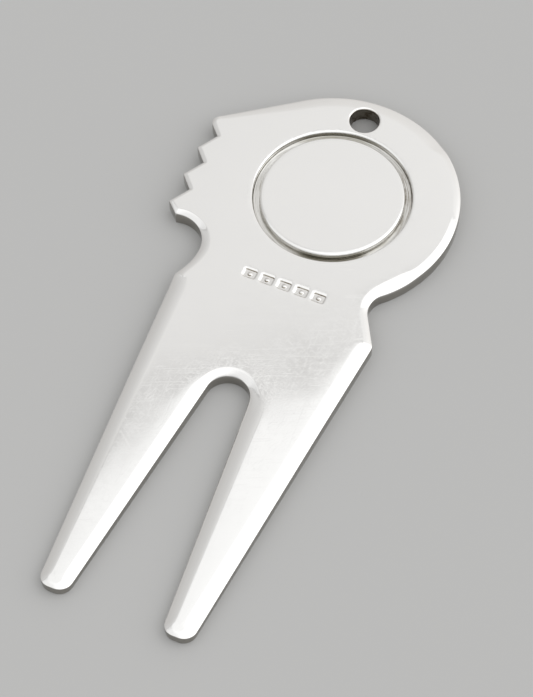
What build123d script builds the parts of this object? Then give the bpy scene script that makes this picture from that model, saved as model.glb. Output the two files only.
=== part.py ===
"""Divot repair tool: a polished silver fork with a saw-toothed head and a lift-out ball marker.

The frame: +Z up out of the face of the tool, +Y from the prongs to the head, and the origin on
the flat back, straight below the centre of the marker. All sizes are in millimetres.
"""
import os
from math import acos, atan2, cos, degrees, radians, sin, sqrt, tan

from build123d import *

os.makedirs("parts", exist_ok=True)

# --- plate ---------------------------------------------------------------------------------
plate_thickness = 2.5
tip_thickness = 1.7  # the prongs are forged thinner towards their tips
face_round = 0.85  # soft rounding of the upper rim
back_round = 0.25  # slight break of the lower rim

# --- marker and its seat -------------------------------------------------------------------
marker_radius = 9.75
marker_thickness = 0.85
marker_edge_round = 0.35
seat_gap = 0.95  # fingernail groove round the marker
seat_lip_round = 0.28
seat_play = 0.02  # between the marker and the floor of its seat
keeper_radius = 4.0
keeper_reach = 0.25  # how far the keeper stands out of the marker
keeper_depth = 0.4  # how far the keeper is set into the marker
keeper_clearance = 0.1  # all round the keeper, in the mouth of the magnet's pocket
magnet_skin = 0.3  # silver left under the magnet
magnet_air_gap = 0.04
disc_chamfer = 0.08  # on the edges of the magnet and the keeper

# --- key ring hole -------------------------------------------------------------------------
key_hole_radius = 2.0
key_hole_round = 0.3
key_hole_angle = 94.3  # direction from the marker's centre, from +X
key_hole_wall = 0.74  # between the seat and the hole
rim_wall = 1.71  # between the hole and the edge of the head

# --- fork ----------------------------------------------------------------------------------
shoulder_half_width = 14.2
shoulder_drop = 4.7  # from the middle of the hook notch down to the left shoulder
shoulder_round = 1.2
palm_length = 11.6  # from the left shoulder to the crotch
crotch_radius = 2.95
slot_flare = 6.0  # each side of the slot leans out by this angle
prong_length = 36.5
prong_tip_width = 3.9
slope_lead = 2.0  # the face begins to bend down this far above the crotch
slope_blend = 9.0  # length of the bend

# --- neck ----------------------------------------------------------------------------------
hook_radius = 4.1  # round notch below the teeth
hook_bite = 1.35  # how far it cuts in, behind the left shoulder
hook_gap = 1.25  # between it and the head circle
neck_radius = 3.0  # hollow on the other side, tangent to the head circle
neck_bite = 2.83  # how far it cuts in, behind the right shoulder
neck_flank_angle = 60.0  # steepness of the flank that leads from it to the shoulder

# --- saw -----------------------------------------------------------------------------------
tooth_count = 3  # sharp teeth, below one blunt tooth
tooth_pitch = 4.82
tooth_depth = 1.7
tooth_overhang = 2.65  # the lowest tip stands this far out from the head circle
tooth_lean = 0.15  # each tip stands this much further out than the one below it
tooth_rise = 2.8  # height of a sharp tooth's upper flank
lip_rise = 1.6  # height of the last flank, from the lip of the hook notch to the lowest tip
brow_overhang = 3.65  # the blunt tooth, before it is rounded
brow_rise = 0.55  # it stands this much higher than one more pitch
brow_tip_round = 1.3

# --- stamps --------------------------------------------------------------------------------
stamp_count = 5
stamp_pitch = 2.45
stamp_width = 1.95
stamp_height = 1.5
stamp_corner = 0.35
stamp_depth = 0.15
stamp_dot_radius = 0.36
stamp_margin = 4.2  # between the seat and the row


def polar(radius, angle, centre=(0.0, 0.0)):
    """Point at a distance and an angle in degrees from a centre."""
    return (
        centre[0] + radius * cos(radians(angle)),
        centre[1] + radius * sin(radians(angle)),
    )


# Levels of the seat, and the places round it.
marker_back = plate_thickness - marker_thickness
seat_floor = marker_back - seat_play
seat_radius = marker_radius + seat_gap
pocket_radius = keeper_radius + keeper_clearance
magnet_thickness = marker_back - keeper_reach - magnet_air_gap - magnet_skin
key_hole = polar(seat_radius + key_hole_wall + key_hole_radius, key_hole_angle)
head_radius = seat_radius + key_hole_wall + 2 * key_hole_radius + rim_wall
stamp_y = -(seat_radius + seat_lip_round + stamp_margin + stamp_height / 2)

# Hook notch, clear of the head circle, and the heights of the fork below it.
hook_x = hook_bite - shoulder_half_width - hook_radius
hook_y = -sqrt((head_radius + hook_gap + hook_radius) ** 2 - hook_x**2)
hook_top = polar(hook_radius, 45, (hook_x, hook_y))
hook_side = (hook_x + hook_radius, hook_y)
left_shoulder = (-shoulder_half_width, hook_y - shoulder_drop)
crotch_y = left_shoulder[1] - palm_length
tip_y = crotch_y - prong_length
slot_centre = (0, crotch_y - crotch_radius)
slot_start = polar(crotch_radius, slot_flare, slot_centre)
slot_tip_half_width = slot_start[0] + (slot_start[1] - tip_y) * tan(radians(slot_flare))
tip_half_width = slot_tip_half_width + prong_tip_width
tip_round = 0.46 * prong_tip_width

# Hollow of the neck on the right, and the flank that runs out of it to the shoulder.
neck_x = shoulder_half_width - neck_bite + neck_radius
neck_angle = -degrees(acos(neck_x / (head_radius + neck_radius)))
neck_centre = polar(head_radius + neck_radius, neck_angle)
neck_leave_angle = 270 - neck_flank_angle
head_end = polar(head_radius, neck_angle)
neck_middle = polar(neck_radius, (neck_angle + 180 + neck_leave_angle) / 2, neck_centre)
neck_end = polar(neck_radius, neck_leave_angle, neck_centre)
flank_drop = (shoulder_half_width - neck_end[0]) * tan(radians(neck_flank_angle))
right_shoulder = (shoulder_half_width, neck_end[1] - flank_drop)

# Saw, from the lip of the hook notch up to the blunt tooth, whose brow is tangent to the head.
lip_x = tooth_depth - head_radius - tooth_overhang
lip = (lip_x, hook_y + sqrt(hook_radius**2 - (lip_x - hook_x) ** 2))
saw = [lip]
for step in range(tooth_count):
    tip_x = lip_x - tooth_depth - tooth_lean * step
    tooth_y = lip[1] + lip_rise + tooth_pitch * step
    saw += [(tip_x, tooth_y), (tip_x + tooth_depth, tooth_y + tooth_rise)]
brow_tip = (
    -head_radius - brow_overhang,
    lip[1] + lip_rise + tooth_pitch * tooth_count + brow_rise,
)
saw_top = brow_tip[1] - brow_tip_round
brow_reach = sqrt(brow_tip[0] ** 2 + brow_tip[1] ** 2)
brow_angle = degrees(atan2(brow_tip[1], brow_tip[0]) - acos(head_radius / brow_reach))
brow = polar(head_radius, brow_angle)
head_middle = polar(head_radius, (brow_angle + neck_angle) / 2)

# The bend of the face is an arc, and the straight run after it is tangent to the arc.
slope_start_y = crotch_y + slope_lead
slope_run = slope_start_y - slope_blend / 2 - tip_y
bend_drop = slope_blend / 2 * (plate_thickness - tip_thickness) / slope_run

# --- body plate ----------------------------------------------------------------------------
with BuildPart() as body_plate:
    with BuildSketch() as outline:
        with BuildLine():
            ThreePointArc(brow, head_middle, head_end)
            ThreePointArc(head_end, neck_middle, neck_end)
            Polyline(
                neck_end,
                right_shoulder,
                (tip_half_width, tip_y),
                (slot_tip_half_width, tip_y),
                slot_start,
            )
            ThreePointArc(slot_start, (0, crotch_y), (-slot_start[0], slot_start[1]))
            Polyline(
                (-slot_start[0], slot_start[1]),
                (-slot_tip_half_width, tip_y),
                (-tip_half_width, tip_y),
                left_shoulder,
            )
            TangentArc(hook_side, left_shoulder, tangent=(0, -1))
            ThreePointArc(hook_side, hook_top, lip)
            Polyline(*saw, brow_tip, brow)
        make_face()
        for corner, radius in (
            (right_shoulder, shoulder_round),
            (left_shoulder, shoulder_round),
            ((tip_half_width, tip_y), tip_round),
            ((slot_tip_half_width, tip_y), tip_round),
            ((-slot_tip_half_width, tip_y), tip_round),
            ((-tip_half_width, tip_y), tip_round),
            (brow_tip, brow_tip_round),
        ):
            fillet(outline.vertices().sort_by_distance(corner)[0], radius)
    extrude(amount=plate_thickness)

    # The face bends down along the prongs and runs out thin at their tips.
    with BuildSketch(Plane.YZ):
        with BuildLine():
            bend_end = (slope_start_y - slope_blend, plate_thickness - bend_drop)
            TangentArc(
                (slope_start_y, plate_thickness),
                bend_end,
                tangent=(-1, 0),
            )
            Polyline(
                bend_end,
                (tip_y, tip_thickness),
                (tip_y, 0),
                (head_radius, 0),
                (head_radius, plate_thickness),
                (slope_start_y, plate_thickness),
            )
        make_face()
    extrude(amount=shoulder_half_width * 2, both=True, mode=Mode.INTERSECT)

    # Rims: soft all round the face, but crisp on the saw teeth, and slightly broken at the back.
    walls = body_plate.faces().filter_by(lambda face: abs(face.normal_at().Z) < 0.01)
    upper_rim = walls.edges().filter_by(lambda edge: edge.bounding_box().min.Z > tip_thickness / 2)
    smooth_rim = upper_rim.filter_by(
        lambda edge: edge.center().X > lip_x or not hook_y < edge.center().Y < saw_top
    )
    fillet(smooth_rim, face_round)
    fillet(body_plate.edges().group_by(Axis.Z)[0], back_round)

    # Seat of the marker, and under it the pocket of the magnet.
    with BuildSketch(Plane.XY.offset(seat_floor)):
        Circle(seat_radius)
    extrude(amount=plate_thickness - seat_floor, mode=Mode.SUBTRACT)
    with BuildSketch(Plane.XY.offset(magnet_skin)):
        Circle(pocket_radius)
    extrude(amount=seat_floor - magnet_skin, mode=Mode.SUBTRACT)
    seat_lip = body_plate.edges().filter_by(GeomType.CIRCLE).filter_by(
        lambda edge: abs(edge.radius - seat_radius) < 0.01
    )
    fillet(seat_lip.sort_by(Axis.Z)[-1], seat_lip_round)

    # Hole for the key ring.
    with Locations((*key_hole, plate_thickness)):
        Hole(key_hole_radius)
    hole_rims = body_plate.edges().filter_by(GeomType.CIRCLE).filter_by(
        lambda edge: abs(edge.radius - key_hole_radius) < 0.01 and edge.center().Y > seat_radius
    )
    fillet(hole_rims, key_hole_round)

    # A row of small plain stamps, each with a raised dot.
    with BuildSketch(Plane.XY.offset(plate_thickness)):
        with Locations((0, stamp_y)):
            with GridLocations(stamp_pitch, 0, stamp_count, 1):
                RectangleRounded(stamp_width, stamp_height, stamp_corner)
                Circle(stamp_dot_radius, mode=Mode.SUBTRACT)
    extrude(amount=-stamp_depth, mode=Mode.SUBTRACT)

body_plate.part.label = "body_plate"
export_step(body_plate.part, "parts/body_plate.step")

# --- magnet --------------------------------------------------------------------------------
with BuildPart() as holding_magnet:
    with BuildSketch(Plane.XY.offset(magnet_skin)):
        Circle(pocket_radius)
    extrude(amount=magnet_thickness)
    chamfer(holding_magnet.edges().group_by(Axis.Z)[-1], disc_chamfer)

holding_magnet.part.label = "holding_magnet"
export_step(holding_magnet.part, "parts/holding_magnet.step")

# --- marker --------------------------------------------------------------------------------
with BuildPart() as marker_disc:
    with BuildSketch(Plane.XY.offset(marker_back)):
        Circle(marker_radius)
    extrude(amount=marker_thickness)
    fillet(marker_disc.edges().group_by(Axis.Z)[-1], marker_edge_round)
    fillet(marker_disc.edges().group_by(Axis.Z)[0], back_round)
    with BuildSketch(Plane.XY.offset(marker_back)):
        Circle(keeper_radius)
    extrude(amount=keeper_depth, mode=Mode.SUBTRACT)

marker_disc.part.label = "marker_disc"
export_step(marker_disc.part, "parts/marker_disc.step")

# --- keeper, set in the back of the marker -------------------------------------------------
with BuildPart() as marker_keeper:
    with BuildSketch(Plane.XY.offset(marker_back - keeper_reach)):
        Circle(keeper_radius)
    extrude(amount=keeper_reach + keeper_depth)
    chamfer(marker_keeper.edges().group_by(Axis.Z)[0], disc_chamfer)

marker_keeper.part.label = "marker_keeper"
export_step(marker_keeper.part, "parts/marker_keeper.step")
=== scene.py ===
import math

import bmesh
import bpy
import numpy as np
from mathutils import Matrix, Vector
from mathutils.geometry import delaunay_2d_cdt


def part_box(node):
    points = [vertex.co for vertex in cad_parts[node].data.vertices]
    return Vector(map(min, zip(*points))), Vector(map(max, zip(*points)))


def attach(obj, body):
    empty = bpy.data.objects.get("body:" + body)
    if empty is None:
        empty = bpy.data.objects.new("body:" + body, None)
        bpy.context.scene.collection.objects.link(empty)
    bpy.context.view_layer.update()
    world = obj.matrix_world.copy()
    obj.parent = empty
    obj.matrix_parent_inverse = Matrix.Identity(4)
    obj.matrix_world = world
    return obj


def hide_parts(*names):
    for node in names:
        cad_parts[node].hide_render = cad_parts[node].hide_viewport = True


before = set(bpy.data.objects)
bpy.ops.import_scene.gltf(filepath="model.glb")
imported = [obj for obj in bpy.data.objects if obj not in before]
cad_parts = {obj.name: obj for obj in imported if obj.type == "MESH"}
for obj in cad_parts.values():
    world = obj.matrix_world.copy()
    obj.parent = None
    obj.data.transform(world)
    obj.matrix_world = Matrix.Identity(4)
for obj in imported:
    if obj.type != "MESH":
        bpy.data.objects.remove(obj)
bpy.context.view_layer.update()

MM = 0.001


def node_box(name):
    """Lowest and highest corner of a CAD node, in millimetres."""
    low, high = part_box(name)
    return np.array(low) / MM, np.array(high) / MM


# --- places and sizes of the frame -----------------------------------------------------------
plate_low, plate_high = node_box("body_plate")
disc_low, disc_high = node_box("marker_disc")
keeper_low, keeper_high = node_box("marker_keeper")
magnet_low, magnet_high = node_box("holding_magnet")

face_level = plate_high[2]
head_radius = plate_high[1]
tip_y = plate_low[1]
marker_radius = (disc_high[0] - disc_low[0]) / 2
marker_back = disc_low[2]
keeper_radius = (keeper_high[0] - keeper_low[0]) / 2
pocket_radius = (magnet_high[0] - magnet_low[0]) / 2
pocket_floor = magnet_low[2]

# --- sizes of the outline --------------------------------------------------------------------
tip_level = 1.7
back_round = 0.25
seat_gap = 0.95
seat_play = 0.02
seat_lip_round = 0.28
seat_fillet = 0.2
pocket_lip = 0.06
key_hole_radius = 2.0
key_hole_round = 0.3
key_hole_angle = 94.3
key_hole_wall = 0.74
shoulder_half_width = 14.2
shoulder_drop = 4.7
shoulder_round = 1.2
palm_length = 11.6
crotch_radius = 2.95
slot_flare = 6.0
prong_tip_width = 3.9
tip_round_share = 0.46  # radius of a prong end's corners over the width of the end
slope_lead = 2.0
slope_blend = 9.0
hook_radius = 4.1
hook_bite = 1.35
hook_gap = 1.25
neck_radius = 3.0
neck_bite = 2.83
neck_flank_angle = 60.0
tooth_count = 3
tooth_pitch = 4.82
tooth_depth = 1.7
tooth_overhang = 2.65
tooth_lean = 0.15
tooth_rise = 2.8
lip_rise = 1.6
brow_overhang = 3.65
brow_rise = 0.55
brow_tip_round = 1.3
stamp_count = 5
stamp_pitch = 2.45
stamp_width = 1.95
stamp_height = 1.5
stamp_corner = 0.35
stamp_depth = 0.15
stamp_dot_radius = 0.36
stamp_dot_rise = 0.85  # share of the stamp's depth
stamp_margin = 4.2
stamp_slope = 0.22  # plan width of a stamp's sides
stamp_sink = 0.022  # the face sags this much towards a stamp
stamp_sink_reach = 0.38

# --- sampling --------------------------------------------------------------------------------
straight_step = 0.45
curve_step = 0.17
head_step = 0.24
flank_step = 0.2
saw_step = 0.16
corner_step = 0.12
tip_step = 0.1
grid_step = 0.75
back_step = 2.4
stamp_step = 0.075
round_segments = 256
hole_segments = 96
chunk = 4000  # points compared with the outline at a time
sharp_angle = 35.0  # edges that bend more than this stay sharp
weld_distance = 2e-7  # metres
shortest_edge = 1e-8  # metres


def polar(radius, angle, centre=(0.0, 0.0)):
    """Point at a distance and an angle in degrees from a centre."""
    return np.array([
        centre[0] + radius * math.cos(math.radians(angle)),
        centre[1] + radius * math.sin(math.radians(angle)),
    ])


def direction(start, end):
    """Angle in degrees of the direction from one point to another."""
    return math.degrees(math.atan2(end[1] - start[1], end[0] - start[0]))


def arc(centre, radius, start, end, step=curve_step):
    """Points along an arc, both ends included."""
    count = max(3, math.ceil(abs(math.radians(end - start)) * radius / step))
    return np.array([polar(radius, angle, centre) for angle in np.linspace(start, end, count + 1)])


def line(start, end, step=straight_step):
    """Points along a straight run, both ends included."""
    length = math.dist(start, end)
    count = max(1, math.ceil(length / step))
    return np.linspace(start, end, count + 1)


def rounded(before, corner, after, radius):
    """Arc that rounds a left-hand corner between two straight runs."""
    corner = np.array(corner)
    way_in = (corner - before) / math.dist(before, corner)
    way_out = (np.array(after) - corner) / math.dist(after, corner)
    turn = math.acos(max(-1.0, min(1.0, float(way_in @ way_out))))
    reach = radius * math.tan(turn / 2)
    start = corner - way_in * reach
    centre = start + radius * np.array([-way_in[1], way_in[0]])
    first = direction(centre, start)
    return arc(centre, radius, first, first + math.degrees(turn), corner_step)


# --- outline ---------------------------------------------------------------------------------
seat_radius = marker_radius + seat_gap
seat_floor = marker_back - seat_play
key_hole = polar(seat_radius + key_hole_wall + key_hole_radius, key_hole_angle)
stamp_y = -(seat_radius + seat_lip_round + stamp_margin + stamp_height / 2)

hook_x = hook_bite - shoulder_half_width - hook_radius
hook_y = -math.sqrt((head_radius + hook_gap + hook_radius) ** 2 - hook_x ** 2)
hook = (hook_x, hook_y)
left_shoulder = (-shoulder_half_width, hook_y - shoulder_drop)
crotch_y = left_shoulder[1] - palm_length
slot_centre = (0.0, crotch_y - crotch_radius)
slot_start = polar(crotch_radius, slot_flare, slot_centre)
slot_half_width = slot_start[0] + (slot_start[1] - tip_y) * math.tan(math.radians(slot_flare))
tip_half_width = slot_half_width + prong_tip_width
tip_round = tip_round_share * prong_tip_width

neck_x = shoulder_half_width - neck_bite + neck_radius
neck_angle = -math.degrees(math.acos(neck_x / (head_radius + neck_radius)))
neck_centre = polar(head_radius + neck_radius, neck_angle)
neck_leave_angle = 270 - neck_flank_angle
neck_end = polar(neck_radius, neck_leave_angle, neck_centre)
flank_drop = (shoulder_half_width - neck_end[0]) * math.tan(math.radians(neck_flank_angle))
right_shoulder = (shoulder_half_width, neck_end[1] - flank_drop)

lip_x = tooth_depth - head_radius - tooth_overhang
lip = (lip_x, hook_y + math.sqrt(hook_radius ** 2 - (lip_x - hook_x) ** 2))
saw = [lip]
for step in range(tooth_count):
    tooth_x = lip_x - tooth_depth - tooth_lean * step
    tooth_y = lip[1] + lip_rise + tooth_pitch * step
    saw += [(tooth_x, tooth_y), (tooth_x + tooth_depth, tooth_y + tooth_rise)]
brow_tip = (
    -head_radius - brow_overhang,
    lip[1] + lip_rise + tooth_pitch * tooth_count + brow_rise,
)
brow_reach = math.hypot(*brow_tip)
brow_angle = direction((0, 0), brow_tip) - math.degrees(math.acos(head_radius / brow_reach))
brow = polar(head_radius, brow_angle)

# The left shoulder is a corner between the flank's hollow arc and the straight edge of the prong.
flank_radius = (hook_bite ** 2 + shoulder_drop ** 2) / (2 * hook_bite)
flank_centre = np.array([hook_x + hook_radius - flank_radius, hook_y])
left_tip = np.array([-tip_half_width, tip_y])
edge_way = (left_tip - left_shoulder) / math.dist(left_tip, left_shoulder)
edge_inward = np.array([-edge_way[1], edge_way[0]])
edge_base = np.array(left_shoulder) + edge_inward * shoulder_round
to_base = edge_base - flank_centre
along = float(to_base @ edge_way)
reach = math.sqrt(along ** 2 - float(to_base @ to_base) + (flank_radius + shoulder_round) ** 2)
shoulder_centre = edge_base + edge_way * (reach - along)
shoulder_turn = direction(flank_centre, shoulder_centre)
shoulder_end = direction(edge_inward, (0, 0))


class Rim:
    """Roll of the upper edge: its plan width, its depth and how full its section is."""

    def __init__(self, width, depth, fullness):
        self.values = np.array([width, depth, fullness])


# --- rims ------------------------------------------------------------------------------------
near_head_rim = Rim(1.50, 0.56, 1.35)
right_head_rim = Rim(1.00, 0.38, 1.35)
far_rim = Rim(2.10, 0.60, 1.45)
brow_rim = Rim(1.05, 0.50, 1.60)
saw_rim = Rim(0.55, 0.30, 1.60)
hook_rim = Rim(0.76, 0.40, 1.35)
hook_side_rim = Rim(1.45, 0.52, 1.60)
left_shoulder_rim = Rim(1.00, 0.45, 1.50)
facet_rim = Rim(2.45, 0.80, 1.60)
facet_tip_rim = Rim(1.35, 0.58, 1.25)
slot_facet_rim = Rim(2.30, 0.86, 1.40)
roll_rim = Rim(1.80, 0.56, 1.30)
roll_tip_rim = Rim(1.75, 0.46, 1.30)
slot_roll_rim = Rim(1.55, 0.56, 1.30)
slot_roll_tip_rim = Rim(1.35, 0.46, 1.30)
tip_end_rim = Rim(0.45, 0.14, 1.30)
crotch_left_rim = Rim(0.82, 0.60, 1.25)
crotch_right_rim = Rim(1.10, 0.62, 1.40)
neck_rim = Rim(1.05, 0.50, 1.40)
right_shoulder_rim = Rim(1.15, 0.52, 1.40)
soft_tilt = 0.026  # the face falls this much more for each millimetre of rim width
soft_reach = 3.0  # plan width of that fall
rim_blend = 1.1  # one rim turns into the next over about this length

outline_parts = []


def add(points, start_rim, end_rim=None):
    """Add a run of points to the outline, with the rim at its start and at its end."""
    end_rim = end_rim or start_rim
    share = np.linspace(0, 1, len(points))[:, None]
    rims = (1 - share) * start_rim.values + share * end_rim.values
    outline_parts.append(np.hstack([points, rims])[:-1])


near_angle = -28.0
far_angle = 52.0
hook_side_angle = 60
add(arc((0, 0), head_radius, neck_angle, near_angle, head_step), near_head_rim)
add(arc((0, 0), head_radius, near_angle, far_angle, head_step), right_head_rim)
add(arc((0, 0), head_radius, far_angle, brow_angle, head_step), far_rim)
brow_arc = rounded(brow, brow_tip, saw[-1], brow_tip_round)
add(line(brow, brow_arc[0]), far_rim, brow_rim)
add(brow_arc, brow_rim, saw_rim)
saw_down = [brow_arc[-1]] + saw[::-1]
for upper, lower in zip(saw_down, saw_down[1:]):
    add(line(upper, lower, saw_step), saw_rim)
add(arc(hook, hook_radius, direction(hook, lip), hook_side_angle), hook_rim)
add(arc(hook, hook_radius, hook_side_angle, 0), hook_rim, hook_side_rim)
add(arc(flank_centre, flank_radius, 0, shoulder_turn), hook_side_rim, left_shoulder_rim)
add(
    arc(shoulder_centre, shoulder_round, shoulder_turn - 180, shoulder_end, corner_step),
    left_shoulder_rim,
)
shoulder_foot = polar(shoulder_round, shoulder_end, shoulder_centre)


def prong(outer_top, inner_top, side, outer_rims, inner_rims):
    """Run round one prong, from the top of the edge met first to the top of the other edge."""
    outer = (side * tip_half_width, tip_y)
    inner = (side * slot_half_width, tip_y)
    if side < 0:
        stops, corners = (outer_top, inner_top), (outer, inner)
        first_rims, last_rims = outer_rims, inner_rims[::-1]
    else:
        stops, corners = (inner_top, outer_top), (inner, outer)
        first_rims, last_rims = inner_rims, outer_rims[::-1]
    first = rounded(stops[0], corners[0], corners[1], tip_round)
    last = rounded(corners[0], corners[1], stops[1], tip_round)
    add(line(stops[0], first[0]), *first_rims)
    add(first, first_rims[1], tip_end_rim)
    add(line(first[-1], last[0], tip_step), tip_end_rim)
    add(last, tip_end_rim, last_rims[0])
    add(line(last[-1], stops[1]), *last_rims)


slot_left = (-slot_start[0], slot_start[1])
shoulder_arc = rounded((tip_half_width, tip_y), right_shoulder, neck_end, shoulder_round)
prong(
    shoulder_foot, slot_left, -1,
    (facet_rim, facet_tip_rim), (slot_roll_rim, slot_roll_tip_rim),
)
add(
    arc(slot_centre, crotch_radius, 180 - slot_flare, slot_flare),
    crotch_left_rim, crotch_right_rim,
)
prong(
    shoulder_arc[0], slot_start, 1,
    (roll_rim, roll_tip_rim), (slot_facet_rim, facet_tip_rim),
)
add(shoulder_arc, right_shoulder_rim)
add(line(shoulder_arc[-1], neck_end, flank_step), neck_rim)
add(arc(neck_centre, neck_radius, neck_leave_angle, neck_angle + 180), neck_rim)
table = np.vstack(outline_parts)
outline = table[:, :2]
outline_next = np.roll(outline, -1, axis=0)
edge_vectors = outline_next - outline
edge_lengths = np.hypot(edge_vectors[:, 0], edge_vectors[:, 1])
travel = np.concatenate([[0.0], np.cumsum(edge_lengths)])


def smoothed(values, blend):
    """Average round the outline, over a length in millimetres."""
    total = travel[-1]
    places = travel[:-1]
    gap = np.abs(places[:, None] - places[None, :])
    gap = np.minimum(gap, total - gap)
    weight = np.exp(-((gap / blend) ** 2)) * edge_lengths[None, :]
    return (weight @ values) / weight.sum(axis=1)[:, None]


rims = smoothed(table[:, 2:], rim_blend)

# Inward normals of the edges, and at the corners.
edge_normals = np.stack([-edge_vectors[:, 1], edge_vectors[:, 0]], axis=1) / edge_lengths[:, None]
last_normals = np.roll(edge_normals, 1, axis=0)
turn_cross = last_normals[:, 0] * edge_normals[:, 1] - last_normals[:, 1] * edge_normals[:, 0]
turn_dot = (last_normals * edge_normals).sum(axis=1)
turns = np.degrees(np.arctan2(turn_cross, turn_dot))
corner_normals = last_normals + edge_normals
corner_normals /= np.hypot(corner_normals[:, 0], corner_normals[:, 1])[:, None]
mitres = corner_normals / np.cos(np.radians(turns) / 2)[:, None]


def nearest_edge(points):
    """Distance from points to the outline, and the rim at the nearest place."""
    distances = []
    found = []
    for start in range(0, len(points), chunk):
        part = points[start:start + chunk]
        away = part[:, None, :] - outline[None, :, :]
        share = (away * edge_vectors[None]).sum(axis=2) / (edge_lengths ** 2)[None]
        share = np.clip(share, 0, 1)
        gap = away - share[:, :, None] * edge_vectors[None]
        square = (gap ** 2).sum(axis=2)
        best = square.argmin(axis=1)
        rows = np.arange(len(part))
        mix = share[rows, best][:, None]
        distances.append(np.sqrt(square[rows, best]))
        found.append((1 - mix) * rims[best] + mix * rims[(best + 1) % len(rims)])
    return np.concatenate(distances), np.vstack(found)


def inside(points, loop):
    """Whether points lie inside a closed loop."""
    ahead = np.roll(loop, -1, axis=0)
    answers = []
    for start in range(0, len(points), chunk):
        x, y = points[start:start + chunk, 0:1], points[start:start + chunk, 1:2]
        spans = (loop[:, 1] > y) != (ahead[:, 1] > y)
        rise = np.where(ahead[:, 1] == loop[:, 1], 1.0, ahead[:, 1] - loop[:, 1])
        cross = loop[:, 0] + (y - loop[:, 1]) * (ahead[:, 0] - loop[:, 0]) / rise
        answers.append((spans & (x < cross)).sum(axis=1) % 2 == 1)
    return np.concatenate(answers)


def slope_level(y):
    """Height of the flat face, which bends down along the prongs."""
    start = crotch_y + slope_lead
    fall = (face_level - tip_level) / (start - slope_blend / 2 - tip_y)
    run = np.maximum(start - y, 0)
    bend = np.minimum(run, slope_blend)
    return face_level - fall * (bend ** 2 / (2 * slope_blend) + (run - bend))


def stamp_drop(points):
    """Depth of the stamped row below the face."""
    drop = np.zeros(len(points))
    sink = np.zeros(len(points))
    for index in range(stamp_count):
        x = points[:, 0] - (index - (stamp_count - 1) / 2) * stamp_pitch
        y = points[:, 1] - stamp_y
        qx = np.abs(x) - stamp_width / 2 + stamp_corner
        qy = np.abs(y) - stamp_height / 2 + stamp_corner
        outer = np.hypot(np.maximum(qx, 0), np.maximum(qy, 0)) + np.minimum(np.maximum(qx, qy), 0)
        depth = np.clip((stamp_corner - outer) / stamp_slope, 0, 1)
        dot = np.clip((stamp_dot_radius - np.hypot(x, y)) / stamp_slope, 0, 1)
        smooth_depth = depth * depth * (3 - 2 * depth)
        smooth_dot = dot * dot * (3 - 2 * dot)
        drop += (stamp_depth - stamp_sink) * (smooth_depth - stamp_dot_rise * smooth_dot)
        share = np.clip(1 - (outer - stamp_corner) / stamp_sink_reach, 0, 1)
        sink = np.maximum(sink, stamp_sink * share ** 2)
    return drop + sink


def face_height(points):
    """Height of the upper side of the plate."""
    gap, rim = nearest_edge(points)
    share = np.clip(1 - gap / rim[:, 0], 0, 1)
    fall = 1 - (1 - share ** rim[:, 2]) ** (1 / rim[:, 2])
    tilt = soft_tilt * rim[:, 0] * np.clip(1 - gap / soft_reach, 0, 1) ** 2
    return slope_level(points[:, 1]) - rim[:, 1] * fall - tilt - stamp_drop(points)


def ring(centre, radius, segments=round_segments):
    """Closed ring of points."""
    angles = np.arange(segments) / segments * 2 * math.pi
    return np.stack([
        centre[0] + radius * np.cos(angles),
        centre[1] + radius * np.sin(angles),
    ], axis=1)


def hex_grid(low, high, step):
    """Staggered grid of points."""
    rows = np.arange(low[1], high[1], step * math.sqrt(3) / 2)
    points = []
    for number, y in enumerate(rows):
        shift = step / 2 if number % 2 else 0
        xs = np.arange(low[0] + shift, high[0], step)
        points.append(np.stack([xs, np.full_like(xs, y)], axis=1))
    return np.vstack(points)


def sheet(loops, loose):
    """Triangles that fill the first loop round the other loops and through the loose points."""
    join_distance = 1e-6
    smallest_area = 1e-9
    points = np.vstack(list(loops) + [loose])
    edges = []
    offset = 0
    for loop in loops:
        count = len(loop)
        edges += [(offset + i, offset + (i + 1) % count) for i in range(count)]
        offset += count
    coords = [Vector((float(x), float(y))) for x, y in points]
    found, _, triangles, origins, _, _ = delaunay_2d_cdt(coords, edges, [], 0, join_distance)
    verts = np.array([
        points[origin[0]] if origin else (vertex.x, vertex.y)
        for vertex, origin in zip(found, origins)
    ])
    triangles = np.array(triangles)
    middles = verts[triangles].mean(axis=1)
    keep = inside(middles, loops[0])
    for loop in loops[1:]:
        keep &= ~inside(middles, loop)
    a, b, c = (verts[triangles[:, i]] for i in range(3))
    area = (b[:, 0] - a[:, 0]) * (c[:, 1] - a[:, 1]) - (b[:, 1] - a[:, 1]) * (c[:, 0] - a[:, 0])
    triangles[area < 0] = triangles[area < 0][:, ::-1]
    return verts, triangles[keep & (np.abs(area) > smallest_area)]


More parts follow.
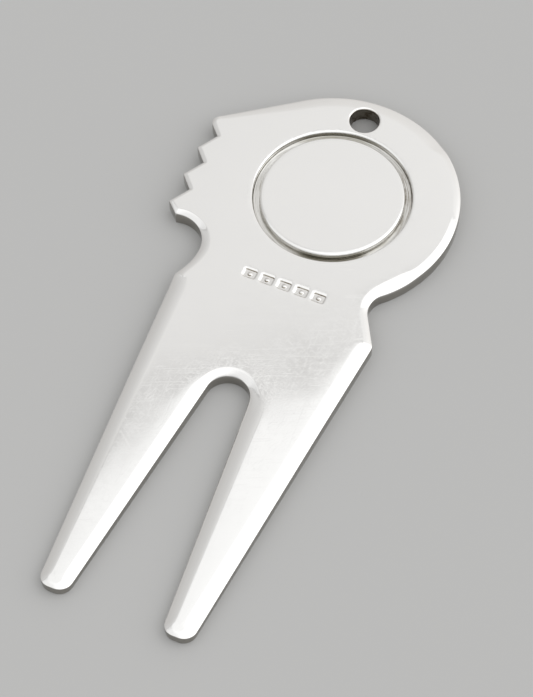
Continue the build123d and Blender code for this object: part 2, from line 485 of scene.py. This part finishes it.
class Shape:
    """Collects points and faces, joins them and makes a Blender object."""

    def __init__(self):
        self.verts = []
        self.faces = []

    def patch(self, points, faces, flip=False):
        offset = len(self.verts)
        self.verts += [tuple(map(float, p)) for p in points]
        for face in faces:
            face = [offset + int(i) for i in face]
            self.faces.append(face[::-1] if flip else face)

    def strip(self, rings, flip=False):
        """Quads between closed rings with the same number of points."""
        count = len(rings[0])
        faces = []
        for level in range(len(rings) - 1):
            for i in range(count):
                j = (i + 1) % count
                a, b = level * count, (level + 1) * count
                faces.append((a + i, a + j, b + j, b + i))
        self.patch(np.vstack(rings), faces, flip)

    def cap(self, points, height, flip=False):
        """Flat fan that closes a ring."""
        points = np.asarray(points)
        middle = points.mean(axis=0)
        count = len(points)
        verts = np.vstack([points, [middle]])
        verts = np.hstack([verts, np.full((count + 1, 1), height)])
        faces = [(i, (i + 1) % count, count) for i in range(count)]
        self.patch(verts, faces, flip)

    def build(self, name, material):
        mesh = bpy.data.meshes.new(name)
        bm = bmesh.new()
        made = [bm.verts.new(Vector(p) * MM) for p in self.verts]
        for face in self.faces:
            bm.faces.new([made[i] for i in face])
        bmesh.ops.remove_doubles(bm, verts=bm.verts, dist=weld_distance)
        bmesh.ops.dissolve_degenerate(bm, edges=bm.edges, dist=shortest_edge)
        for face in bm.faces:
            face.smooth = True
        bm.to_mesh(mesh)
        bm.free()
        mesh.set_sharp_from_angle(angle=math.radians(sharp_angle))
        mesh.materials.append(material)
        piece = bpy.data.objects.new(name, mesh)
        bpy.context.scene.collection.objects.link(piece)
        return piece


def lift(points, heights):
    """Points with a height."""
    return np.hstack([points, np.broadcast_to(np.reshape(heights, (-1, 1)), (len(points), 1))])


def lathe(shape, profile, flip=False):
    """Surface turned round the axis of the head, through (radius, height) pairs."""
    rings = [lift(ring((0, 0), radius), height) for radius, height in profile]
    shape.strip(rings, flip)


def quarter(centre_radius, centre_height, radius, start, end, count=6):
    """Points of a rounded edge in a turned profile."""
    angles = np.radians(np.linspace(start, end, count + 1))
    return [
        (centre_radius + radius * math.cos(a), centre_height + radius * math.sin(a))
        for a in angles
    ]


# --- plate -----------------------------------------------------------------------------------
def rim_points():
    """Points on rings inside the outline, close together where the rim bends most."""
    shares = [0.008, 0.03, 0.07, 0.13, 0.21, 0.31, 0.42, 0.54, 0.66, 0.77, 0.86, 0.93, 0.975, 1.0]
    beyond = [0.2, 0.5, 0.9, 1.4]
    # Hollow corners sharper than this, in degrees, get a fan of points. Sharper tips get none.
    corner_turn = 20
    fan_step = 14
    # A point stays only where the place it was set out from is the nearest part of the outline.
    own_share = 0.985
    slack = 0.001
    points, depths = [], []
    for i in range(len(outline)):
        if turns[i] < -corner_turn:
            count = math.ceil(-turns[i] / fan_step)
            start = math.atan2(last_normals[i][1], last_normals[i][0])
            angles = [start + math.radians(turns[i]) * k / count for k in range(count + 1)]
            ways = [np.array([math.cos(a), math.sin(a)]) for a in angles]
        elif turns[i] > corner_turn:
            continue
        else:
            ways = [corner_normals[i]]
        for way in ways:
            width = rims[i][0]
            for depth in [share * width for share in shares] + [width + more for more in beyond]:
                points.append(outline[i] + way * depth)
                depths.append(depth)
    points, depths = np.array(points), np.array(depths)
    gap, _ = nearest_edge(points)
    keep = (gap > depths * own_share - slack) & inside(points, outline)
    return points[keep]


lip_radius = seat_radius + seat_lip_round
hole_edge = key_hole_radius + key_hole_round
hole_ring = ring(key_hole, hole_edge, hole_segments)


def upper_side(shape):
    """Polished face with its rims and stamps, round the seat and the key hole."""
    rim_margin = 1.7
    row_margin = 0.3
    lip_margin = 0.05
    hole_margin = 0.03
    grid = hex_grid(plate_low[:2], plate_high[:2], grid_step)
    grid = grid[inside(grid, outline)]
    gap, rim = nearest_edge(grid)
    grid = grid[gap > rim[:, 0] + rim_margin]
    stamp_reach = np.array([stamp_count * stamp_pitch / 2, stamp_height / 2]) + stamp_sink_reach
    stamp_low = np.array([0, stamp_y]) - stamp_reach
    stamp_high = np.array([0, stamp_y]) + stamp_reach
    in_row = (grid > stamp_low - row_margin) & (grid < stamp_high + row_margin)
    row = hex_grid(stamp_low, stamp_high, stamp_step)
    loose = np.vstack([grid[~in_row.all(axis=1)], row, rim_points()])
    clear = np.hypot(loose[:, 0], loose[:, 1]) > lip_radius + lip_margin
    clear &= np.hypot(*(loose - key_hole).T) > hole_edge + hole_margin
    lip_ring = ring((0, 0), lip_radius)
    verts, faces = sheet((outline, lip_ring, hole_ring), loose[clear])
    shape.patch(lift(verts, face_height(verts)), faces)


def walls(shape):
    """Outer walls, and the slight break of the lower rim."""
    top = face_height(outline)
    rings = [lift(outline, top)]
    rings.append(lift(outline, back_round + (top - back_round) * 0.5))
    for angle in np.linspace(0, 90, 6):
        inset = back_round * (1 - math.cos(math.radians(angle)))
        height = back_round * (1 - math.sin(math.radians(angle)))
        rings.append(lift(outline + mitres * inset, height))
    shape.strip(rings, flip=True)


def back(shape):
    """Flat back."""
    edge_margin = 1.0
    hole_margin = 0.8
    loop = outline + mitres * back_round
    grid = hex_grid(plate_low[:2], plate_high[:2], back_step)
    grid = grid[inside(grid, loop)]
    gap, _ = nearest_edge(grid)
    hole_gap = np.hypot(*(grid - key_hole).T)
    grid = grid[(gap > edge_margin) & (hole_gap > key_hole_radius + hole_margin)]
    verts, faces = sheet((loop, hole_ring), grid)
    shape.patch(lift(verts, 0.0), faces, flip=True)


def seat(shape):
    """Seat of the marker, with the pocket of the magnet in its floor."""
    profile = quarter(lip_radius, face_level - seat_lip_round, seat_lip_round, 90, 180)
    profile += quarter(seat_radius - seat_fillet, seat_floor + seat_fillet, seat_fillet, 0, -90, 5)
    profile += quarter(pocket_radius + pocket_lip, seat_floor - pocket_lip, pocket_lip, 90, 180, 3)
    profile += [(pocket_radius, pocket_floor)]
    lathe(shape, profile)
    shape.cap(ring((0, 0), pocket_radius), pocket_floor)


def key_hole_bore(shape):
    """Bore for a key ring, rounded at both ends."""
    start = face_height(hole_ring)
    rings = []
    for radius, height in quarter(hole_edge, 0, key_hole_round, 90, 180, 7):
        level = start + height - key_hole_round
        rings.append(lift(ring(key_hole, radius, hole_segments), level))
    for radius, height in quarter(hole_edge, key_hole_round, key_hole_round, 180, 270, 7):
        rings.append(lift(ring(key_hole, radius, hole_segments), height))
    shape.strip(rings)


def plate():
    """The silver fork, with its seat, pocket, key hole and stamps."""
    shape = Shape()
    for part in (upper_side, walls, back, seat, key_hole_bore):
        part(shape)
    return shape


# --- marker, keeper and magnet ---------------------------------------------------------------
def disc():
    """The ball marker, hollow at the back for its keeper."""
    edge, back_edge = 0.35, 0.25
    first_ring = 0.02
    shape = Shape()
    profile = [(radius, face_level) for radius in (first_ring, 1.6, 3.2, 4.8, 6.4, 8.0, 9.0)]
    profile += quarter(marker_radius - edge, face_level - edge, edge, 90, 0, 9)
    profile += quarter(marker_radius - back_edge, marker_back + back_edge, back_edge, 0, -90, 6)
    profile += [(keeper_radius, marker_back), (keeper_radius, keeper_high[2])]
    lathe(shape, profile, flip=True)
    shape.cap(ring((0, 0), first_ring), face_level)
    shape.cap(ring((0, 0), keeper_radius), keeper_high[2], flip=True)
    return shape


def button(radius, low, high, chamfer_low, chamfer_high):
    """Small disc with softened edges."""
    shape = Shape()
    first_ring = radius * 0.5
    profile = [(first_ring, high)]
    if chamfer_high:
        profile += quarter(radius - chamfer_high, high - chamfer_high, chamfer_high, 90, 0, 4)
    else:
        profile += [(radius, high)]
    if chamfer_low:
        profile += quarter(radius - chamfer_low, low + chamfer_low, chamfer_low, 0, -90, 4)
    else:
        profile += [(radius, low)]
    profile += [(first_ring, low)]
    lathe(shape, profile, flip=True)
    shape.cap(ring((0, 0), first_ring), high)
    shape.cap(ring((0, 0), first_ring), low, flip=True)
    return shape


# --- materials -------------------------------------------------------------------------------
class Nodes:
    """Short calls for building a node tree."""

    def __init__(self, tree):
        self.tree = tree
        self.tree.nodes.clear()

    def add(self, kind, **settings):
        node = self.tree.nodes.new(kind)
        for key, value in settings.items():
            setattr(node, key, value)
        return node

    def join(self, source, target):
        self.tree.links.new(source, target)

    def put(self, target, value):
        if isinstance(value, bpy.types.NodeSocket):
            self.join(value, target)
        else:
            target.default_value = value

    def math(self, operation, first, second=0.0, third=0.0, clamp=False):
        node = self.add("ShaderNodeMath", operation=operation, use_clamp=clamp)
        for index, value in enumerate((first, second, third)):
            self.put(node.inputs[index], value)
        return node.outputs[0]

    def span(self, value, low, high, out_low=0.0, out_high=1.0):
        """Smooth step from one value to another."""
        node = self.add("ShaderNodeMapRange", interpolation_type="SMOOTHSTEP")
        for index, item in enumerate((value, low, high, out_low, out_high)):
            self.put(node.inputs[index], item)
        return node.outputs[0]

    def noise(self, vector, scale, detail, rough):
        node = self.add("ShaderNodeTexNoise")
        self.join(vector, node.inputs["Vector"])
        node.inputs["Scale"].default_value = scale
        node.inputs["Detail"].default_value = detail
        node.inputs["Roughness"].default_value = rough
        return node.outputs["Fac"]

    def mapped(self, vector, turn, scale, shift):
        """Coordinates turned about the upright axis, then stretched and moved."""
        spin = self.add("ShaderNodeMapping", vector_type="POINT")
        self.join(vector, spin.inputs["Vector"])
        spin.inputs["Rotation"].default_value = (0, 0, math.radians(turn))
        stretch = self.add("ShaderNodeMapping", vector_type="POINT")
        self.join(spin.outputs[0], stretch.inputs["Vector"])
        stretch.inputs["Scale"].default_value = scale
        stretch.inputs["Location"].default_value = shift
        return stretch.outputs[0]

    def mix(self, share, first, second, blend="MIX"):
        node = self.add("ShaderNodeMix", data_type="RGBA", blend_type=blend)
        self.put(node.inputs[0], share)
        self.put(node.inputs[6], first)
        self.put(node.inputs[7], second)
        return node.outputs[2]

    def ramp(self, value, stops):
        """Colour ramp through (place, colour) stops."""
        node = self.add("ShaderNodeValToRGB")
        self.join(value, node.inputs[0])
        elements = node.color_ramp.elements
        while len(elements) > 1:
            elements.remove(elements[-1])
        for index, (place, colour) in enumerate(stops):
            element = elements[0] if index == 0 else elements.new(place)
            element.position = place
            element.color = (*colour, 1)
        return node.outputs[0]

    def add_up(self, *values):
        total = values[0]
        for value in values[1:]:
            total = self.math("ADD", total, value)
        return total


def hairlines(n, place, turn, length, width, low, high, shift):
    """Sparse thin lines in one direction: 1 on a line and 0 between."""
    stretched = n.mapped(place, turn, (1 / length, 1 / width, 1 / length), shift)
    return n.span(n.noise(stretched, 1.0, 2.0, 0.55), low, high)


def crossed(n, place, sets):
    """Several sets of hairlines, added up."""
    return n.add_up(*[hairlines(n, place, *values) for values in sets])


# Sets of hairlines: direction, length and width (metres), noise where a line starts and is full,
# and a shift that keeps the sets apart.
long_lines = (
    (38, 0.009, 0.00011, 0.60, 0.72, (3, 5, 0)),
    (-24, 0.007, 0.00009, 0.61, 0.73, (11, 2, 0)),
    (84, 0.006, 0.00012, 0.62, 0.74, (7, 9, 0)),
)
short_scuffs = (
    (20, 0.0011, 0.00013, 0.60, 0.70, (1, 8, 0)),
    (110, 0.0009, 0.00014, 0.61, 0.71, (6, 4, 0)),
)
hard_nicks = (
    (62, 0.0009, 0.00016, 0.60, 0.70, (4, 1, 0)),
    (-40, 0.0008, 0.00018, 0.61, 0.71, (9, 3, 0)),
    (12, 0.0008, 0.00015, 0.61, 0.71, (2, 7, 0)),
)

bright_silver = (0.955, 0.950, 0.935, 1)
cloudy_silver = (0.935, 0.932, 0.920, 1)
# Painted shade: colours that darken the steep walls.
shaded_wall = (0.34, 0.325, 0.295, 1)
deep_shaded_wall = (0.25, 0.235, 0.205, 1)
# Stain colours, also used for painted shade on the stamps' slopes; the film tint also carries
# painted shade in the groove and the stamps.
light_stain_and_shade = (0.52, 0.43, 0.32, 1)
dark_stain_and_shade = (0.24, 0.175, 0.11, 1)
film_and_shade_tint = (0.40, 0.385, 0.34, 1)
silver_relief = 0.0000011  # metres
brushed_relief = 0.000001  # metres


def silver(name, tarnish_and_shade):
    """Polished silver with hairlines, soft wear, tarnished hollows where polish doesn't reach, and
    painted shade on the walls, in the groove and in the stamps.
    """
    material = bpy.data.materials.new(name)
    material.use_nodes = True
    n = Nodes(material.node_tree)
    place = n.add("ShaderNodeTexCoord").outputs["Object"]
    parts = n.add("ShaderNodeSeparateXYZ")
    n.join(place, parts.inputs[0])
    x, y, z = parts.outputs

    lines = crossed(n, place, long_lines)
    scuffs = crossed(n, place, short_scuffs)
    grain = n.noise(place, 3600, 3.0, 0.6)
    patches = n.noise(place, 140, 3.0, 0.55)
    waves = n.noise(place, 260, 1.0, 0.4)

    # The tarnish function gives stains with painted shade in the stamps, a mask of walls for
    # painted shade, film with painted shade in the groove, and haze.
    dirt_and_shade, wall, film_and_shade, haze = tarnish_and_shade(n, x, y, z)
    blotch = n.span(n.noise(place, 900, 4.0, 0.65), 0.35, 0.65)
    stain_and_shade = n.math("MULTIPLY", dirt_and_shade, n.math("MULTIPLY_ADD", blotch, 0.6, 0.4), clamp=True)
    cloud = n.mix(patches, bright_silver, cloudy_silver)
    # Painted shade on the walls, varied at random.
    wall_shade = n.mix(n.noise(place, 500, 3.0, 0.6), shaded_wall, deep_shaded_wall)
    dark = n.mix(blotch, light_stain_and_shade, dark_stain_and_shade)
    filmed_and_shaded = n.mix(film_and_shade, n.mix(wall, cloud, wall_shade), film_and_shade_tint, "MULTIPLY")
    colour = n.mix(stain_and_shade, filmed_and_shaded, dark, "MULTIPLY")

    rough = n.add_up(
        n.span(patches, 0.3, 0.7, 0.060, 0.090),
        n.math("MULTIPLY", lines, 0.05),
        n.math("MULTIPLY", scuffs, 0.05),
        n.math("MULTIPLY", stain_and_shade, 0.25),
    )
    nicks = n.add_up(
        crossed(n, place, hard_nicks),
        n.math("MULTIPLY", n.noise(place, 2600, 3.0, 0.7), 0.5),
    )
    height = n.add_up(
        n.math("MULTIPLY", lines, -0.55),
        n.math("MULTIPLY", scuffs, -0.6),
        n.math("MULTIPLY", grain, 0.45),
        n.math("MULTIPLY", waves, 4.5),
        n.math("MULTIPLY", n.math("MULTIPLY", stain_and_shade, blotch), 6.0),
        n.math("MULTIPLY", n.math("MULTIPLY", haze, nicks), -1.7),
    )
    bump = n.add("ShaderNodeBump")
    bump.inputs["Strength"].default_value = 1.0
    bump.inputs["Distance"].default_value = silver_relief
    n.join(height, bump.inputs["Height"])

    shader = n.add("ShaderNodeBsdfPrincipled")
    shader.inputs["Metallic"].default_value = 1.0
    n.join(colour, shader.inputs["Base Color"])
    n.join(rough, shader.inputs["Roughness"])
    n.join(bump.outputs[0], shader.inputs["Normal"])
    out = n.add("ShaderNodeOutputMaterial")
    n.join(shader.outputs[0], out.inputs[0])
    return material


def upright(n):
    """1 on walls and 0 on level faces."""
    normal = n.add("ShaderNodeSeparateXYZ")
    n.join(n.add("ShaderNodeNewGeometry").outputs["Normal"], normal.inputs[0])
    return n.span(n.math("ABSOLUTE", normal.outputs[2]), 0.1, 0.45, 1.0, 0.0)


def distance_from(n, x, y, centre):
    """Distance from an upright axis."""
    dx = n.math("SUBTRACT", x, float(centre[0]) * MM)
    dy = n.math("SUBTRACT", y, float(centre[1]) * MM)
    return n.math("SQRT", n.math("ADD", n.math("MULTIPLY", dx, dx), n.math("MULTIPLY", dy, dy)))


def streaks(n, x, y, z, radius):
    """Thin broken rings round the marker."""
    ring_way = n.add("ShaderNodeCombineXYZ")
    n.join(n.math("DIVIDE", x, radius), ring_way.inputs[0])
    n.join(n.math("DIVIDE", y, radius), ring_way.inputs[1])
    n.join(n.math("MULTIPLY", n.math("ADD", radius, z), 5200), ring_way.inputs[2])
    return n.span(n.noise(ring_way.outputs[0], 3.2, 3.0, 0.6), 0.46, 0.66)


def window(n, x, y, middle, half):
    """1 within an angle of a direction from the centre of the head, and 0 outside."""
    soft_in, soft_out = 0.12, 0.10
    turn = n.math("SUBTRACT", n.math("ARCTAN2", y, x), math.radians(middle))
    edge = math.radians(half)
    return n.span(n.math("ABSOLUTE", turn), edge - soft_in, edge + soft_out, 1.0, 0.0)


def scratch(n, x, y, start, end, width):
    """1 on a straight scratch between two places, and 0 outside."""
    length = math.dist(start, end)
    cos, sin = (end[0] - start[0]) / length, (end[1] - start[1]) / length
    dx = n.math("SUBTRACT", x, start[0] * MM)
    dy = n.math("SUBTRACT", y, start[1] * MM)
    along = n.math("ADD", n.math("MULTIPLY", dx, cos), n.math("MULTIPLY", dy, sin))
    across = n.math("SUBTRACT", n.math("MULTIPLY", dy, cos), n.math("MULTIPLY", dx, sin))
    middle = n.math("ABSOLUTE", n.math("SUBTRACT", along, length / 2 * MM))
    reach = n.span(middle, length * 0.3 * MM, length / 2 * MM, 1.0, 0.0)
    line_share = n.span(n.math("ABSOLUTE", across), 0.0, width * MM, 1.0, 0.0)
    return n.math("MULTIPLY", line_share, reach)


# Directions from the centre of the head, in degrees: two patches where shade is painted into the
# groove, and a stretch of the groove with brown specks.
far_shade_patch = 111.5
near_shade_patch = -67.5
patch_half = 25.5
speck_middle = 20
speck_half = 30


def groove_film_and_shade(n, rings, patches, base, place):
    """Film and painted shade on the walls of the groove: streaked all round, and thicker in the
    patches.
    """
    shade = n.add_up(
        n.math("MULTIPLY", patches, n.math("MULTIPLY_ADD", rings, 0.3, base)),
        n.math("MULTIPLY", rings, 0.55),
        0.30,
    )
    return n.math("MULTIPLY", place, shade, clamp=True)


def groove_specks(n, x, y, rings):
    """Brown specks in one stretch of the groove."""
    return n.math("MULTIPLY", rings, window(n, x, y, speck_middle, speck_half))


def key_hole_stain(n, x, y):
    """Stain on the wall of the key hole."""
    gap = distance_from(n, x, y, key_hole)
    full, none = key_hole_radius + 0.02, key_hole_radius + 0.14
    return n.span(gap, full * MM, none * MM, 0.95, 0.0)


def stamp_shade_and_haze(n, x, y, z):
    """Painted shade on the stamps' slopes that face the prongs, and haze all over the stamps."""
    row_half_width = 6.4
    row_margin = 0.1
    row_y = n.math("ABSOLUTE", n.math("SUBTRACT", y, stamp_y * MM))
    in_row = n.math("LESS_THAN", row_y, (stamp_height / 2 + row_margin) * MM)
    near = n.math("LESS_THAN", n.math("ABSOLUTE", x), row_half_width * MM)
    row = n.math("MULTIPLY", in_row, near)
    low = n.span(z, (face_level - 0.12) * MM, (face_level - 0.03) * MM, 1.0, 0.0)
    facing = n.add("ShaderNodeSeparateXYZ")
    n.join(n.add("ShaderNodeNewGeometry").outputs["Normal"], facing.inputs[0])
    # Painted shade: slopes that face the prongs are darkened.
    toward = n.span(n.math("MULTIPLY", facing.outputs[1], -1.0), 0.10, 0.35, 0.10, 1.0)
    stain_and_shade = n.math("MULTIPLY", row, n.math("MULTIPLY", low, toward))
    return stain_and_shade, n.math("MULTIPLY", row, low)


def crotch_haze(n, x, y):
    """Fine scratches on the palm round the top of the slot."""
    gap = distance_from(n, x, y, slot_centre)
    above = n.span(y, (crotch_y - 5.0) * MM, (crotch_y - 1.0) * MM)
    return n.math("MULTIPLY", n.span(gap, 4.2 * MM, 9.0 * MM, 1.0, 0.0), above)


def plate_tarnish_and_shade(n, x, y, z):
    """Stain, painted shade on the walls and stamps, a filmy layer partly painted as shade, and
    haze of fine scratches on the plate.
    """
    radius = distance_from(n, x, y, (0, 0))
    in_seat = n.math("LESS_THAN", radius, (seat_radius + 0.02) * MM)
    deep = n.span(z, (face_level - 0.5) * MM, (face_level - 0.3) * MM, 1.0, 0.0)
    groove = n.math("MULTIPLY", in_seat, deep)
    rings = streaks(n, x, y, z, radius)
    far = window(n, x, y, far_shade_patch, patch_half)
    near = window(n, x, y, near_shade_patch, patch_half)
    # Streaked film round the groove, with painted shade in the far and near patches.
    film_and_shade = groove_film_and_shade(n, rings, n.math("MAXIMUM", far, near), 0.45, groove)
    specks = n.math("MULTIPLY", groove, groove_specks(n, x, y, rings))
    hole = key_hole_stain(n, x, y)
    stamps, stamp_haze = stamp_shade_and_haze(n, x, y, z)
    outside = n.math("SUBTRACT", 1.0, in_seat)
    # Painted shade on the outer walls.
    wall = n.math("MULTIPLY", upright(n), n.math("MULTIPLY", outside, 0.9))
    # The stamps' painted shade joins both the stains and the film.
    stain_and_shade = n.math("MAXIMUM", n.math("MAXIMUM", specks, hole), stamps)
    film_and_shade = n.math("MAXIMUM", n.math("MAXIMUM", film_and_shade, n.math("MULTIPLY", hole, 0.5)), stamps)
    haze = n.math("MAXIMUM", crotch_haze(n, x, y), stamp_haze)
    return stain_and_shade, wall, film_and_shade, haze


def disc_tarnish_and_shade(n, x, y, z):
    """Stain, painted shade on the walls, a filmy layer partly painted as shade, and scratches on
    the marker.
    """
    radius = distance_from(n, x, y, (0, 0))
    back_stain = n.math("MULTIPLY", n.math("LESS_THAN", z, (marker_back + 0.05) * MM), 0.35)
    outside = n.math("GREATER_THAN", radius, (marker_radius - 0.4) * MM)
    low = n.span(z, (face_level - 0.45) * MM, (face_level - 0.3) * MM, 1.0, 0.0)
    groove = n.math("MULTIPLY", outside, low)
    rings = streaks(n, x, y, z, radius)
    # Streaked film round the marker's edge, with painted shade in the near patch.
    film_and_shade = groove_film_and_shade(n, rings, window(n, x, y, near_shade_patch, patch_half), 0.50, groove)
    specks = n.math("MULTIPLY", groove_specks(n, x, y, rings), 0.7)
    edge_stain = n.math("MULTIPLY", groove, specks)
    long_scratch = scratch(n, x, y, (-3.4, -3.7), (0.6, 8.3), 0.09)
    short_scratch = n.math("MULTIPLY", scratch(n, x, y, (-5.6, 2.4), (-2.9, -4.8), 0.07), 0.6)
    haze = n.math("MULTIPLY", n.math("MAXIMUM", long_scratch, short_scratch), 0.8)
    # Painted shade, lighter, on the marker's walls.
    wall = n.math("MULTIPLY", upright(n), 0.2)
    return n.math("MAXIMUM", edge_stain, back_stain), wall, film_and_shade, haze


def plain_metal(name, colour, shade, rough, turn):
    """Brushed metal of the small inner parts."""
    material = bpy.data.materials.new(name)
    material.use_nodes = True
    n = Nodes(material.node_tree)
    place = n.add("ShaderNodeTexCoord").outputs["Object"]
    brush = hairlines(n, place, turn, 0.004, 0.00006, 0.35, 0.65, (2, 4, 0))
    cloud = n.noise(place, 700, 3.0, 0.6)
    shader = n.add("ShaderNodeBsdfPrincipled")
    shader.inputs["Metallic"].default_value = 1.0
    n.join(n.mix(cloud, colour, shade), shader.inputs["Base Color"])
    n.join(n.span(cloud, 0.3, 0.7, rough, rough + 0.12), shader.inputs["Roughness"])
    bump = n.add("ShaderNodeBump")
    bump.inputs["Distance"].default_value = brushed_relief
    n.join(n.add_up(brush, cloud), bump.inputs["Height"])
    n.join(bump.outputs[0], shader.inputs["Normal"])
    out = n.add("ShaderNodeOutputMaterial")
    n.join(shader.outputs[0], out.inputs[0])
    return material


# --- pieces ----------------------------------------------------------------------------------
fork = plate().build("silver_fork", silver("body_silver_look", plate_tarnish_and_shade))
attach(fork, "tool")
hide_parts("body_plate")

magnet = button(
    pocket_radius, magnet_low[2], magnet_high[2], 0.0, 0.08,
).build("seat_magnet", plain_metal(
    "nickel_look", (0.66, 0.62, 0.55, 1), (0.52, 0.49, 0.44, 1), 0.22, 15,
))
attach(magnet, "tool")
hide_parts("holding_magnet")

marker = disc().build("ball_marker", silver("marker_silver_look", disc_tarnish_and_shade))
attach(marker, "marker")
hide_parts("marker_disc")

keeper = button(
    keeper_radius, keeper_low[2], keeper_high[2], 0.08, 0.0,
).build("steel_keeper", plain_metal(
    "steel_look", (0.50, 0.50, 0.50, 1), (0.38, 0.38, 0.39, 1), 0.30, 70,
))
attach(keeper, "marker")
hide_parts("marker_keeper")


# --- floor -----------------------------------------------------------------------------------
def floor():
    """Plain pale floor."""
    mesh = bpy.data.meshes.new("floor")
    half = 1.6  # metres
    level = -0.00002  # just under the back of the tool
    pale = (0.50, 0.50, 0.495, 1)
    corners = [(-half, -half), (half, -half), (half, half), (-half, half)]
    mesh.from_pydata([(x, y, level) for x, y in corners], [], [(0, 1, 2, 3)])
    material = bpy.data.materials.new("floor_look")
    material.use_nodes = True
    n = Nodes(material.node_tree)
    shader = n.add("ShaderNodeBsdfPrincipled")
    shader.inputs["Base Color"].default_value = pale
    shader.inputs["Roughness"].default_value = 0.9
    shader.inputs["Specular IOR Level"].default_value = 0.1
    out = n.add("ShaderNodeOutputMaterial")
    n.join(shader.outputs[0], out.inputs[0])
    mesh.materials.append(material)
    ground = bpy.data.objects.new("floor", mesh)
    bpy.context.scene.collection.objects.link(ground)


floor()


# --- light -----------------------------------------------------------------------------------
tent_turn = 25.7  # degrees from +Y towards -X, to the middle of the tent's far side
peak = 1.18  # brightest level from the far side over to the near side
screen_stops = (
    # degrees up from the far horizon and over, level, warmth
    (0.0, 0.64, 0.95),
    (14.0, 0.72, 0.965),
    (30.0, 0.74, 0.965),
    (45.0, 0.80, 0.98),
    (54.0, 0.835, 0.985),
    (56.6, 0.825, 0.985),
    (57.6, 0.75, 0.98),
    (58.2, 0.64, 0.98),
    (59.2, 0.63, 0.98),
    (59.7, 1.01, 1.0),
    (65.0, 1.04, 1.0),
    (72.0, 1.18, 1.0),
    (120.0, 1.16, 1.0),
    (138.0, 1.04, 1.0),
    (155.0, 0.78, 1.0),
    (168.0, 0.45, 1.0),
    (180.0, 0.25, 1.0),
)
side_peak = 1.5  # above the brightest level from left to right
side_stops = (
    # place from the left (-1) to the right (1), level
    (-1.0, 0.74), (-0.45, 0.78), (-0.2, 0.90), (0.0, 1.0), (0.1, 1.05),
    (0.3, 1.08), (0.5, 1.12), (0.66, 1.25), (1.0, 1.45),
)
# The seam between the grey screen and the white overhead runs at a slant near its middle.
slant_shift = 0.02
slant_limit = 0.05
slant_start = 55.4
slant_full = 57.4
slant_rate = 0.65


def along_way(n, way, ahead):
    """How far the view direction points along a level direction."""
    node = n.add("ShaderNodeVectorMath", operation="DOT_PRODUCT")
    n.join(way, node.inputs[0])
    node.inputs[1].default_value = (*ahead, 0)
    return node.outputs["Value"]


def studio():
    """Light tent: a grey screen on the far side, white overhead, and darker on the near side."""
    world = bpy.data.worlds.new("studio")
    bpy.context.scene.world = world
    world.use_nodes = True
    n = Nodes(world.node_tree)
    way = n.add("ShaderNodeTexCoord").outputs["Generated"]
    turn = math.radians(tent_turn)
    far = along_way(n, way, (-math.sin(turn), math.cos(turn)))
    side = along_way(n, way, (math.cos(turn), math.sin(turn)))
    parts = n.add("ShaderNodeSeparateXYZ")
    n.join(way, parts.inputs[0])
    tilt = n.math("ARCTAN2", parts.outputs[2], far)
    slant = n.math("ADD", side, slant_shift)
    slant = n.math("MINIMUM", n.math("MAXIMUM", slant, -slant_limit), slant_limit)
    start, full = math.radians(slant_start), math.radians(slant_full)
    slant = n.math("MULTIPLY", slant, n.span(tilt, start, full, 0.0, slant_rate))
    tilt = n.math("MULTIPLY", n.math("ADD", tilt, slant), 1 / math.pi, clamp=True)
    screen = n.ramp(tilt, [
        (angle / 180, (level / peak, level * (1 + warm) / 2 / peak, level * warm / peak))
        for angle, level, warm in screen_stops
    ])
    sideways = n.math("MULTIPLY_ADD", side, 0.5, 0.5)
    balance = n.ramp(sideways, [
        ((place + 1) / 2, (level / side_peak,) * 3)
        for place, level in side_stops
    ])
    background = n.add("ShaderNodeBackground")
    n.join(screen, background.inputs["Color"])
    n.join(n.math("MULTIPLY", balance, peak * side_peak), background.inputs["Strength"])
    out = n.add("ShaderNodeOutputWorld")
    n.join(background.outputs[0], out.inputs[0])


studio()


# --- camera ----------------------------------------------------------------------------------
camera_spot = (84.1, -196.9, 291.9 + face_level)
camera_aim = (1.89, -25.8, face_level)
camera_roll = -1.855
camera_lens = 139.5


def camera():
    """Camera in front of the tool, to its right and well above it."""
    spot = Vector(camera_spot) * MM
    aim = Vector(camera_aim) * MM
    roll = math.radians(camera_roll)
    forward = (aim - spot).normalized()
    right = forward.cross(Vector((0, 0, 1))).normalized()
    up = right.cross(forward)
    rolled_right = right * math.cos(roll) + up * math.sin(roll)
    rolled_up = up * math.cos(roll) - right * math.sin(roll)
    data = bpy.data.cameras.new("camera")
    data.lens = camera_lens
    data.sensor_width = 36.0
    data.clip_start = 0.01
    data.clip_end = 20.0
    view = bpy.data.objects.new("camera", data)
    turn = Matrix((rolled_right, rolled_up, -forward)).transposed()
    view.matrix_world = Matrix.Translation(spot) @ turn.to_4x4()
    bpy.context.scene.collection.objects.link(view)
    bpy.context.scene.camera = view


camera()
bpy.context.scene.view_settings.view_transform = "Standard"
